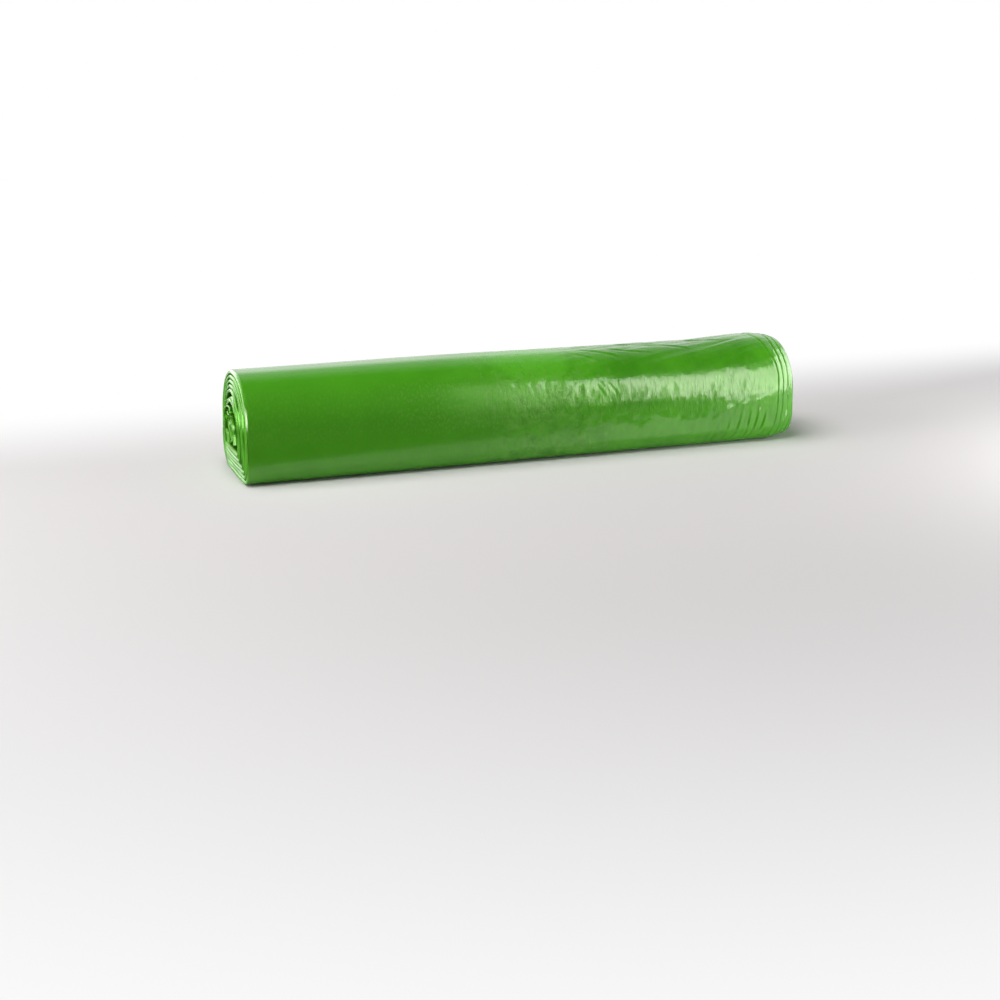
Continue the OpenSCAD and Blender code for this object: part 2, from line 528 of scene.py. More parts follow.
@dataclass(frozen=True)
class Wrinkles:
    """Relief of the outermost turn: wrinkles, crinkles, gathers and stepped bag edges."""

    winding: Winding
    # Stepped bag edges: girth from the top and place along the roll, in millimetres
    ridges: tuple[Path, ...] = (
        ((-92, 156), (-40, 158), (0, 157), (8, 157.4), (14, 158.8), (26, 160.4), (31, 162.2), (38, 163),
         (56, 162.6), (65, 162.1), (71, 160.5), (76, 158), (83, 155.5), (98, 152)),
        ((-92, 161), (-40, 164), (0, 165.6), (17, 165.2), (30, 166), (46, 166.6), (58, 166.1),
         (65, 165.7), (71, 164.5), (77, 163), (86, 160.5), (98, 158)),
        ((-92, 166), (-40, 168.6), (0, 169.4), (18, 169.5), (33, 170.1), (56, 170), (64, 169.5),
         (72, 167.8), (78, 166.6), (86, 164), (98, 162)),
        ((-92, 170), (-40, 172), (0, 172.6), (27, 173), (56, 172.9), (66, 172.5), (75, 171.3), (98, 167)),
    )
    ridge_height: float = 0.32 * MM
    ridge_foot: float = 0.7 * MM
    # Shares of the ridges' height: the even part, and what varies, with its cells' length
    ridge_even: float = 0.8
    ridge_varying: float = 0.5
    ridge_cells: float = 22 * MM
    # Sway of the ridges along the roll: its height, the length of its cells and its seed
    sways: tuple[tuple[float, float, int], ...] = ((0.30 * MM, 14 * MM, 11), (0.12 * MM, 5 * MM, 12))
    bead_height: float = 0.15 * MM
    bead_width: float = 0.50 * MM
    bead_shift: float = 0.1 * MM
    # Distance past the roll's edge at which the last step has run out
    past_edge: float = 1.0 * MM
    creases: tuple[Crease, ...] = (
        Crease(((154.5, 60), (153, 67), (151, 72), (147.5, 75.5), (143, 79.5)), 0.42, 1.1),
        Crease(((144, 60), (142.5, 68), (140.5, 75.5), (138, 80)), 0.36, 1.1),
        Crease(((138, 59), (136.5, 66), (133.5, 74), (129, 81)), 0.32, 1.1),
        Crease(((130, 62), (128.5, 69), (125.5, 76), (122, 82)), 0.28, 1.2),
        Crease(((122, 65), (120.5, 71), (117, 79), (114, 83)), 0.26, 1.2),
        Crease(((155, 72), (151.5, 77), (147.5, 81)), 0.36, 0.9),
        Crease(((149, 60), (148, 67), (145.5, 73), (142, 77)), 0.26, 1.0),
        Crease(((147, 74), (142.5, 78.5), (137, 82)), 0.30, 0.9),
        Crease(((137, 76), (132, 80), (127, 83)), 0.26, 0.9),
        Crease(((35, 4), (46, 8), (58, 15), (64, 19)), 0.30, 1.4),
        Crease(((28, 8), (38, 13), (47, 20)), 0.22, 1.2),
        Crease(((82, 2), (94, 5), (106, 11), (112, 15)), 0.30, 1.4),
        Crease(((104, -6), (118, -2), (130, 4), (138, 7)), 0.28, 1.5),
        Crease(((60, -4), (76, 0), (90, 3), (101, 4)), 0.22, 1.6),
        Crease(((50, 3), (62, 8), (76, 13), (86, 15)), 0.30, 1.0),
        Crease(((58, -8), (72, -3), (88, -1), (98, 0)), 0.28, 1.1),
        Crease(((118, 12), (126, 11), (136, 8), (146, 6)), 0.24, 1.4),
        Crease(((41, 35), (44, 40), (47, 45)), 0.12, 0.8),
        Crease(((47, 34), (51, 38), (56, 46)), 0.12, 0.8),
    )
    # Zones along the roll and round it, from where each starts to where it is full, and for
    # some from where it fades to where it ends, in millimetres
    far_right: Pair = (-40, 70)
    streaked: Pair = (-5, 70)
    furrowed: Pair = (10, 50)
    gathered: Pair = (78, 148)
    crinkled: Zone = (-62, -12, 22, 72)
    dimpled: Pair = (36, 46)
    flatter: Pair = (44, 54)
    low_front: Zone = (50, 68, 78, 98)
    on_top: Zone = (-70, -40, 20, 38)
    in_sight: Zone = (-92, -80, 77, 86)
    # Length over which the relief dies away towards the roll's edges
    edge_length: float = 5 * MM
    # Share of the dimples' height above their zone, and of the facets' in the flatter one
    dimpled_rest: float = 0.5
    flatter_rest: float = 0.25
    broad: Pattern = Pattern(31, 95, 55, 0.42, 0.16)
    streaks: Pattern = Pattern(32, 3.4, 9, 0.060, 0.008)
    fine_streaks: Pattern = Pattern(33, 2.2, 5, 0.027, 0.0036)
    dimples: Pattern = Pattern(39, 5.5, 4.6, 0.085, lean=0.3)
    facets: Pattern = Pattern(34, 9, 12, 0.09, creased=True, lean=0.35, twist=-0.5)
    small_facets: Pattern = Pattern(35, 4.5, 6.5, 0.054, creased=True)
    shallow: Pattern = Pattern(36, 17, 26, 0.16, creased=True, lean=0.8)
    furrows: Pattern = Pattern(37, 62, 5.2, 0.34, creased=True, lean=-1.5, twist=0.28)
    pleats: Pattern = Pattern(38, 3.1, 34, 0.26, lean=0.30, lean_from=60)

    def ridge_lift(self, x: Array, girth: Array) -> Array:
        """Raises the stepped bag edges round the nose: each is a bead and then a step down.

        Args:
            x: Places along the roll.
            girth: Distances round the outline from the top.

        Returns:
            How far the edges lift the film at each place.
        """
        sway = sum(height * grain(girth / cells, seed=seed) for height, cells, seed in self.sways)
        crests = []
        for ridge in self.ridges:
            table = np.array(ridge) * MM
            crests.append(np.interp(girth, table[:, 0], table[:, 1]) + sway)
        crests.append(np.full_like(x, self.winding.width / 2 + self.past_edge))
        lift = np.zeros_like(x)
        for ridge, (crest, following) in enumerate(zip(crests, crests[1:])):
            varying = self.ridge_varying * grain(girth / self.ridge_cells, seed=20 + ridge)
            tall = self.ridge_height * (self.ridge_even + varying)
            past = x - crest
            room = following - crest
            step = ease(past / self.ridge_foot)
            recover = 1 - ease((past - self.ridge_foot) / (room - self.ridge_foot))
            lift -= np.where((past > 0) & (past < room), tall * step * recover, 0.0)
            lift += self.bead_height * np.exp(-((past + self.bead_shift) / self.bead_width) ** 2)
        return lift

    def relief(self, x: Array, turn: Array) -> Array:
        """Sums up all that lifts the film from the plain outline.

        Args:
            x: Places along the roll.
            turn: Turns from the tip of the tail, all in the outermost turn.

        Returns:
            How far the film stands out at each place.
        """
        girth = self.winding.girth(turn)
        far_right = ramp(x, *self.far_right)
        streaked = ramp(x, *self.streaked)
        crinkled = zone(x, *self.crinkled) * mix(1.0, self.flatter_rest, ramp(girth, *self.flatter))
        layers = (
            (self.broad, far_right), (self.streaks, streaked), (self.fine_streaks, streaked),
            (self.dimples, far_right * mix(self.dimpled_rest, 1.0, ramp(girth, *self.dimpled))),
            (self.facets, crinkled), (self.small_facets, crinkled), (self.shallow, far_right),
            (self.furrows, zone(girth, *self.on_top) * ramp(x, *self.furrowed)),
            (self.pleats, ramp(x, *self.gathered) * zone(girth, *self.low_front)),
        )
        lift = self.ridge_lift(x, girth)
        for pattern, share in layers:
            lift = lift + pattern.lift(x, girth, share)
        for crease in self.creases:
            lift = lift + crease.lift(x, girth)
        edge = ease((self.winding.width / 2 - np.abs(x)) / self.edge_length)
        return lift * zone(girth, *self.in_sight) * edge


def deselect_all() -> None:
    """Leaves object mode with nothing selected."""
    if bpy.context.object and bpy.context.object.mode != "OBJECT":
        bpy.ops.object.mode_set(mode="OBJECT")
    bpy.ops.object.select_all(action="DESELECT")


def coordinates(piece: bpy.types.Object) -> Array:
    """Returns the coordinates of a mesh's vertices, one row each."""
    flat = np.empty(len(piece.data.vertices) * 3)
    piece.data.vertices.foreach_get("co", flat)
    return flat.reshape(-1, 3)


def set_coordinates(piece: bpy.types.Object, places: Array) -> None:
    """Moves a mesh's vertices to new places."""
    piece.data.vertices.foreach_set("co", np.ascontiguousarray(places, float).ravel())
    piece.data.update()


def edit(piece: bpy.types.Object, mode: Select, *steps: Callable[[], Any]) -> None:
    """Runs operators on a piece in edit mode.

    Args:
        piece: The mesh object to edit.
        mode: What the steps need to be selected.
        steps: Calls of operators, in order.
    """
    bpy.context.view_layer.objects.active = piece
    bpy.context.tool_settings.mesh_select_mode = mode.value
    bpy.ops.object.mode_set(mode="EDIT")
    for step in steps:
        step()
    bpy.ops.object.mode_set(mode="OBJECT")


def flat_slab(name: str, columns: int, rows: int) -> bpy.types.Object:
    """Makes a closed slab whose grid counts columns along X and rows along Y.

    Args:
        name: The new object's name.
        columns: Cells along X.
        rows: Cells along Y.

    Returns:
        The slab, with its outer face at height 0 and its inner face one unit below.
    """
    deselect_all()
    bpy.ops.mesh.primitive_grid_add(x_subdivisions=columns, y_subdivisions=rows, size=1)
    slab = bpy.context.object
    slab.name = slab.data.name = name
    set_coordinates(slab, (coordinates(slab) + (0.5, 0.5, 0.0)) * (columns, rows, 1.0))
    wall = slab.modifiers.new("wall", "SOLIDIFY")
    wall.thickness = 1.0
    wall.offset = -1.0
    wall.use_even_offset = False
    bpy.ops.object.modifier_apply(modifier=wall.name)
    return slab


def split_columns(slab: bpy.types.Object, first: int, last: int, rows: int, cuts: int) -> None:
    """Cuts the outer face's cells between two columns into narrower ones.

    Args:
        slab: A slab made by flat_slab.
        first: First column to cut.
        last: Column at which the cutting ends.
        rows: Number of rows to cut, from row 0.
        cuts: Cuts in each cell.
    """
    places = coordinates(slab)
    ends = np.empty(len(slab.data.edges) * 2, int)
    slab.data.edges.foreach_get("vertices", ends)
    start, end = places[ends[0::2]], places[ends[1::2]]
    middle = (start + end) / 2
    across = (np.abs(start - end)[:, 1:] < LEVEL).all(axis=1)
    chosen = across & (middle[:, 2] > MID_WALL) & (middle[:, 1] < rows + 0.5)
    chosen &= (middle[:, 0] > first) & (middle[:, 0] < last)
    for parts in (slab.data.vertices, slab.data.polygons):
        parts.foreach_set("select", np.zeros(len(parts), bool))
    slab.data.edges.foreach_set("select", chosen)
    edit(slab, Select.EDGES, lambda: bpy.ops.mesh.subdivide(number_cuts=cuts))


def finish_piece(piece: bpy.types.Object, material: bpy.types.Material) -> None:
    """Closes, smooths and dresses a piece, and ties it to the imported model.

    Args:
        piece: The mesh object to finish.
        material: Its finish.
    """
    edit(
        piece, Select.VERTICES,
        lambda: bpy.ops.mesh.select_all(action="SELECT"),
        lambda: bpy.ops.mesh.remove_doubles(threshold=WELD),
        lambda: bpy.ops.mesh.normals_make_consistent(inside=False),
    )
    deselect_all()
    piece.select_set(True)
    bpy.context.view_layer.objects.active = piece
    bpy.ops.object.shade_smooth()
    piece.data.materials.clear()
    piece.data.materials.append(material)
    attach(piece, BODY)
    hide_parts(NODE)
    LOG.info("%s: %d faces", piece.name, len(piece.data.polygons))


def set_map(piece: bpy.types.Object, along: Array, round_it: Array) -> None:
    """Gives a piece a UV map that follows the film.

    Args:
        piece: The mesh object.
        along: Each vertex's place along the roll.
        round_it: Each vertex's place round the roll, along the film.
    """
    layer = piece.data.uv_layers.new(name="film")
    corners = np.empty(len(piece.data.loops), int)
    piece.data.loops.foreach_get("vertex_index", corners)
    pairs = np.column_stack([along[corners], round_it[corners]])
    layer.data.foreach_set("uv", pairs.ravel())


def set_attribute(piece: bpy.types.Object, name: str, values: Array) -> None:
    """Stores one number for each vertex of a piece under a name."""
    layer = piece.data.attributes.new(name, "FLOAT", "POINT")
    layer.data.foreach_set("value", values.astype(np.float32))


@dataclass
class WoundStack:
    """The folded stack of bags, wound up from its tail to its loose curl."""

    winding: Winding
    wrinkles: Wrinkles
    lip_steps: int = 5
    # Distance between rows on the outermost turn, by the girth up to which each holds
    row_steps: tuple[Pair, ...] = (
        (-88 * MM, 3.0 * MM), (-25 * MM, 2.0 * MM), (50 * MM, 0.9 * MM), (84 * MM, 0.6 * MM),
        (math.inf, 3.0 * MM),
    )
    # Distance from the end of the outermost turn at which its rows stop
    closing_step: float = 0.45 * MM
    # Rows in each inner turn, and in the curl
    turn_rows: int = 88
    curl_rows: int = 70
    # Stations between the lips on the faces that no one sees, from the left end
    middle_stations: tuple[float, ...] = (
        -168 * MM, -134 * MM, -100 * MM, -66 * MM, -32 * MM, 0.0, 32 * MM, 64 * MM, 96 * MM,
        122 * MM, 139 * MM, 152 * MM, 162.5 * MM, 172 * MM,
    )
    # Cuts in the outermost turn's cells, and the places along the roll where they change
    cuts: tuple[int, ...] = (7, 33, 25)
    cut_changes: Pair = (-32 * MM, 96 * MM)
    # Turns over which the lips of the innermost film grow sharper
    sharper_from: float = 5.3
    sharper_over: float = 0.7
    # Shift of the inner face's film map, so that the two faces differ
    inside_shift: float = 0.2

    def stations(self) -> tuple[Array, Array]:
        """Lists the stations along the roll.

        Returns:
            Each station's place along the roll, and its share of the stack's rounded lip.
        """
        bend = np.linspace(0, math.pi / 2, self.lip_steps + 1)
        inset = self.winding.lip * (1 - np.cos(bend))
        lip_share = 1 - np.sin(bend)
        half = self.winding.width / 2
        places = [*(inset - half), *self.middle_stations, *(half - inset[::-1])]
        shares = [*lip_share, *(0.0 for _ in self.middle_stations), *lip_share[::-1]]
        return np.array(places), np.array(shares)

    def turns(self) -> tuple[Array, int]:
        """Lists the turn at each row.

        Returns:
            The turns, and the number of rows that make up the outermost turn.
        """
        walked, _ = self.winding.outline()
        total = walked[-1]
        far, spots = 0.0, []
        while far < total - self.closing_step:
            spots.append(far / total)
            girth = float(self.winding.girth(np.array(spots[-1])))
            far += next(step for limit, step in self.row_steps if girth < limit)
        inner = np.arange(1, self.winding.whole_turns, 1 / self.turn_rows)
        curl = np.linspace(self.winding.whole_turns, self.winding.last_turn, self.curl_rows + 1)
        return np.concatenate([spots, inner, curl]), len(spots)

    def build(self, material: bpy.types.Material) -> bpy.types.Object:
        """Models the stack flat, winds it up and wrinkles its outermost turn.

        Args:
            material: The film's finish.

        Returns:
            The finished piece.
        """
        places, shares = self.stations()
        turns, skin_rows = self.turns()
        columns = len(places) - 1
        piece = flat_slab("wound_stack", columns, len(turns) - 1)
        changes = np.searchsorted(places, self.cut_changes)
        bounds = [self.lip_steps, *changes, columns - self.lip_steps]
        for first, last, cuts in zip(bounds, bounds[1:], self.cuts):
            split_columns(piece, first, last, skin_rows, cuts)
        flat = coordinates(piece)
        x = np.interp(flat[:, 0], np.arange(columns + 1), places)
        lip_share = np.interp(flat[:, 0], np.arange(columns + 1), shares)
        turn = np.interp(flat[:, 1], np.arange(len(turns)), turns)
        outside = flat[:, 2] > MID_WALL
        share = self.winding.lip_share(turn, lip_share, outside)
        shifted = x + self.winding.end_shift(turn, x)
        set_coordinates(piece, self.winding.place(shifted, turn, share))
        self.wrinkle(piece, x, turn, outside)
        self.store_map(piece, x, turn, lip_share, outside)
        finish_piece(piece, material)
        return piece

    def wrinkle(self, piece: bpy.types.Object, x: Array, turn: Array, outside: Array) -> None:
        """Moves the outermost turn's outside by the relief of its wrinkles.

        Args:
            piece: The wound stack.
            x: Each vertex's place along the roll.
            turn: Each vertex's turns from the tip of the tail.
            outside: Whether each vertex is on the stack's outer face.
        """
        normals = np.empty(len(piece.data.vertices) * 3)
        piece.data.vertex_normals.foreach_get("vector", normals)
        skin = outside & (turn < 1.0)
        lift = np.zeros(len(x))
        lift[skin] = self.wrinkles.relief(x[skin], turn[skin])
        places = coordinates(piece) + normals.reshape(-1, 3) * lift[:, None]
        places[:, 2] = np.maximum(places[:, 2], 0.0)
        set_coordinates(piece, places)

    def store_map(
        self, piece: bpy.types.Object, x: Array, turn: Array, lip_share: Array, outside: Array
    ) -> None:
        """Stores the film's own coordinates, and how close each vertex is to an edge.

        Args:
            piece: The wound stack.
            x: Each vertex's place along the roll.
            turn: Each vertex's turns from the tip of the tail.
            lip_share: Each vertex's share of the lip's rounding.
            outside: Whether each vertex is on the stack's outer face.
        """
        walked, _ = self.winding.outline()
        set_map(piece, x, turn * walked[-1] + np.where(outside, 0.0, self.inside_shift))
        sharpness = 1 + 2 * ease((turn - self.sharper_from) / self.sharper_over)
        set_attribute(piece, "lip", lip_share ** sharpness)
        set_attribute(piece, "buried", np.where(outside & (turn < 1.0), 0.0, 1.0))


@dataclass(frozen=True)
class Ply:
    """A loose film ply in the hollow, as a line in the cross-section, in millimetres."""

    name: str
    path: Path
    thickness: float
    stand_out: float
    sway: float
    droop: float = 0.0


@dataclass
class LoosePlies:
    """Loose inner plies of the stack that hang in the hollow of the roll."""

    winding: Winding
    plies: tuple[Ply, ...] = (
        Ply(
            "rear_ply",
            ((9.0, 37.5), (9.6, 33.8), (10.0, 30.9), (9.1, 27.5), (5.8, 24.1), (2.4, 19.6)),
            0.9, 1.6, 0.6,
        ),
        Ply(
            "middle_ply",
            ((2.2, 35.8), (-0.2, 32.7), (-2.4, 28.9), (-2.9, 24.8), (-3.8, 21.2), (-4.6, 18.6)),
            0.6, 2.0, 0.7,
        ),
        Ply(
            "low_ply", ((17.2, 31.0), (17.0, 26.4), (15.2, 22.6), (12.8, 19.4), (10.2, 17.0)),
            1.2, 2.0, 0.7,
        ),
        Ply(
            "drooping_ply",
            ((11.0, 45.4), (4.5, 47.4), (-2.5, 47.6), (-8.7, 46.2), (-12.5, 43.6)),
            1.4, 2.4, 0.3, 3.0,
        ),
    )
    # Cells along the roll: in each of the two ends, and a few stations between them
    end_cells: int = 10
    end_length: float = 24 * MM
    middle_reach: float = 100 * MM
    middle_stations: int = 5
    path_cells: int = 44
    # Length of a ply on the film's map
    film_length: float = 30 * MM
    # Edges: the length over which a ply thins to a share of its wall, the length that
    # looks like a lip, the length that droops, and the ragged cut
    edge_length: float = 0.8 * MM
    edge_share: float = 0.15
    lip_length: float = 0.7 * MM
    droop_length: float = 6 * MM
    ragged: float = 0.5 * MM
    ragged_length: float = 10 * MM
    ragged_cells: float = 6.0
    # Sway of the plies: share of their own sway, length of its cells along the roll, cells
    # down the ply and seed
    sways: tuple[tuple[float, float, float, int], ...] = (
        (1.0, 22 * MM, 2.5, 50), (0.3, 6 * MM, 5.0, 60),
    )
    # Share of a ply, at each of its ends, over which the sway dies away
    held_share: float = 0.15

    def build(self, material: bpy.types.Material) -> list[bpy.types.Object]:
        """Models each ply.

        Args:
            material: The film's finish.

        Returns:
            The finished pieces.
        """
        return [self.build_ply(ply, seed, material) for seed, ply in enumerate(self.plies)]

    def build_ply(self, ply: Ply, seed: int, material: bpy.types.Material) -> bpy.types.Object:
        """Models one ply as a thin slab along its path, swaying a little along the roll.

        Args:
            ply: The ply.
            seed: Its number, which gives it a sway of its own.
            material: The film's finish.

        Returns:
            The finished piece.
        """
        half = self.winding.width / 2 + ply.stand_out * MM
        near = half - np.linspace(0, self.end_length, self.end_cells + 1)
        middle = np.linspace(-self.middle_reach, self.middle_reach, self.middle_stations)
        places = np.concatenate([-near, middle, near[::-1]])
        columns = len(places) - 1
        piece = flat_slab(ply.name, columns, self.path_cells)
        flat = coordinates(piece)
        x = np.interp(flat[:, 0], np.arange(columns + 1), places)
        path = smooth_path(ply.path, self.path_cells + 1) * MM
        heading = headings(path)
        row = np.rint(flat[:, 1]).astype(int)
        done = flat[:, 1] / self.path_cells
        tip = half - np.abs(x)
        wall = ply.thickness * MM * mix(self.edge_share, 1.0, ease(tip / self.edge_length))
        sway = sum(
            share * grain(x / length, done * cells, seed=first_seed + seed)
            for share, length, cells, first_seed in self.sways
        )
        held = ease(done / self.held_share) * ease((1 - done) / self.held_share)
        offset = (flat[:, 2] - MID_WALL) * wall + ply.sway * MM * sway * held
        y = path[row, 0] + heading[row, 1] * offset
        z = path[row, 1] - heading[row, 0] * offset
        y, z = self.winding.fit(y, z, self.winding.section(x))
        z = z - ply.droop * MM * ease(1 - tip / self.droop_length)
        ragged = self.ragged * grain(done * self.ragged_cells, np.sign(x), seed=70 + seed)
        x = x + np.sign(x) * ragged * ease(1 - tip / self.ragged_length)
        set_coordinates(piece, np.column_stack([x, y, z]))
        set_map(piece, x, done * self.film_length + seed)
        lip_length = self.lip_length + ply.droop * MM
        set_attribute(piece, "lip", 1 - ease((half - np.abs(x)) / lip_length))
        set_attribute(piece, "buried", np.ones(len(x)))
        finish_piece(piece, material)
        return piece


class Graph:
    """A node graph under construction."""

    def __init__(self, tree: bpy.types.NodeTree) -> None:
        """Starts an empty graph in a node tree."""
        self.tree = tree
        tree.nodes.clear()

    def node(self, kind: str, settings: dict[str, Any] | None = None, **inputs: Any) -> "Shade":
        """Adds a node.

        Args:
            kind: The node's type.
            settings: Properties to set first, such as the operation of a Math node.
            inputs: Values or Shades for the sockets, by name with _ for each space,
                or by number as in_0.

        Returns:
            The node's first output.
        """
        made = self.tree.nodes.new(kind)
        for key, value in (settings or {}).items():
            setattr(made, key, value)
        for key, value in inputs.items():
            by_number = key.startswith("in_")
            socket = made.inputs[int(key[3:]) if by_number else key.replace("_", " ")]
            if isinstance(value, Shade):
                self.tree.links.new(value.socket, socket)
            else:
                socket.default_value = value
        return Shade(self, made.outputs[0]) if made.outputs else Shade(self, None, made)

    def maths(self, operation: str, *values: Any) -> "Shade":
        """Adds a Math node."""
        sockets = {f"in_{index}": value for index, value in enumerate(values)}
        return self.node("ShaderNodeMath", {"operation": operation}, **sockets)

    def rise(self, value: "Shade", start: float, end: float) -> "Shade":
        """Adds a smooth rise from 0 to 1 as a value goes from start to end."""
        return self.node(
            "ShaderNodeMapRange", {"interpolation_type": "SMOOTHSTEP"},
            Value=value, From_Min=start, From_Max=end,
        )

    def blend(self, factor: Any, start: Any, end: Any) -> "Shade":
        """Mixes two colours."""
        made = self.node("ShaderNodeMix", {"data_type": "RGBA"}, in_0=factor, in_6=start, in_7=end)
        return made.output(2)

    def zone(self, value: "Shade", start: float, full: float, fading: float, end: float) -> "Shade":
        """Adds the share of a zone, which is 1 from where it is full to where it fades."""
        return self.rise(value, start, full) * (1 - self.rise(value, fading, end))

    def attribute(self, name: str) -> "Shade":
        """Reads a number that is stored on a piece."""
        return self.node("ShaderNodeAttribute", {"attribute_name": name}).output("Fac")

    def light(self, colour: Any, strength: float) -> "Shade":
        """Adds a shader that gives light of its own."""
        return self.node("ShaderNodeEmission", None, Color=colour, Strength=strength)

    def either(self, factor: "Shade", first: "Shade", second: "Shade") -> "Shade":
        """Mixes two shaders."""
        return self.node("ShaderNodeMixShader", None, in_0=factor, in_1=first, in_2=second)


class Shade:
    """One output socket, with the operators that shader maths needs."""

    def __init__(self, graph: Graph, socket: Any, owner: Any = None) -> None:
        """Wraps a socket, or an end node that has none."""
        self.graph = graph
        self.socket = socket
        self.owner = owner or socket.node

    def output(self, name: str | int) -> "Shade":
        """Returns another output of the same node."""
        return Shade(self.graph, self.owner.outputs[name])

    def __add__(self, other: Any) -> "Shade":
        """Adds."""
        return self.graph.maths("ADD", self, other)

    def __sub__(self, other: Any) -> "Shade":
        """Subtracts."""
        return self.graph.maths("SUBTRACT", self, other)

    def __mul__(self, other: Any) -> "Shade":
        """Multiplies."""
        return self.graph.maths("MULTIPLY", self, other)

    def __rsub__(self, other: Any) -> "Shade":
        """Subtracts this from another value."""
        return self.graph.maths("SUBTRACT", other, self)

    __radd__ = __add__
    __rmul__ = __mul__


@dataclass(frozen=True)
class FilmNoise:
    """A noise on the film: the squash of its map round the roll, and its sizes."""

    squash: float
    scale: float
    detail: float
    roughness: float

    def build(self, graph: Graph, film: Shade) -> Shade:
        """Adds the noise's nodes.

        Args:
            graph: The graph to add to.
            film: The vector that the noise follows.

        Returns:
            The noise's value.
        """
        factors = (1.0, self.squash, 1.0)
        squashed = graph.node("ShaderNodeVectorMath", {"operation": "MULTIPLY"}, in_0=film, in_1=factors)
        return graph.node(
            "ShaderNodeTexNoise", None,
            Vector=squashed, Scale=self.scale, Detail=self.detail, Roughness=self.roughness,
        )


@dataclass(frozen=True)
class FilmPlace:
    """Where a shaded point lies, and the zones and noises that the film's sockets share."""

    film: Shade
    along: Shade
    round_it: Shade
    high: Shade
    # How near the point is to an edge of the film, and whether it lies inside the roll
    lip: Shade
    buried: Shade
    # Zones: the right part, the film above the low front, the ruffled patch on the front,
    # and the gaps between turns, where shade is painted
    right: Shade
    calm: Shade
    ruffled: Shade
    gap: Shade
    specks: Shade
    fine: Shade
    crumple: Shade


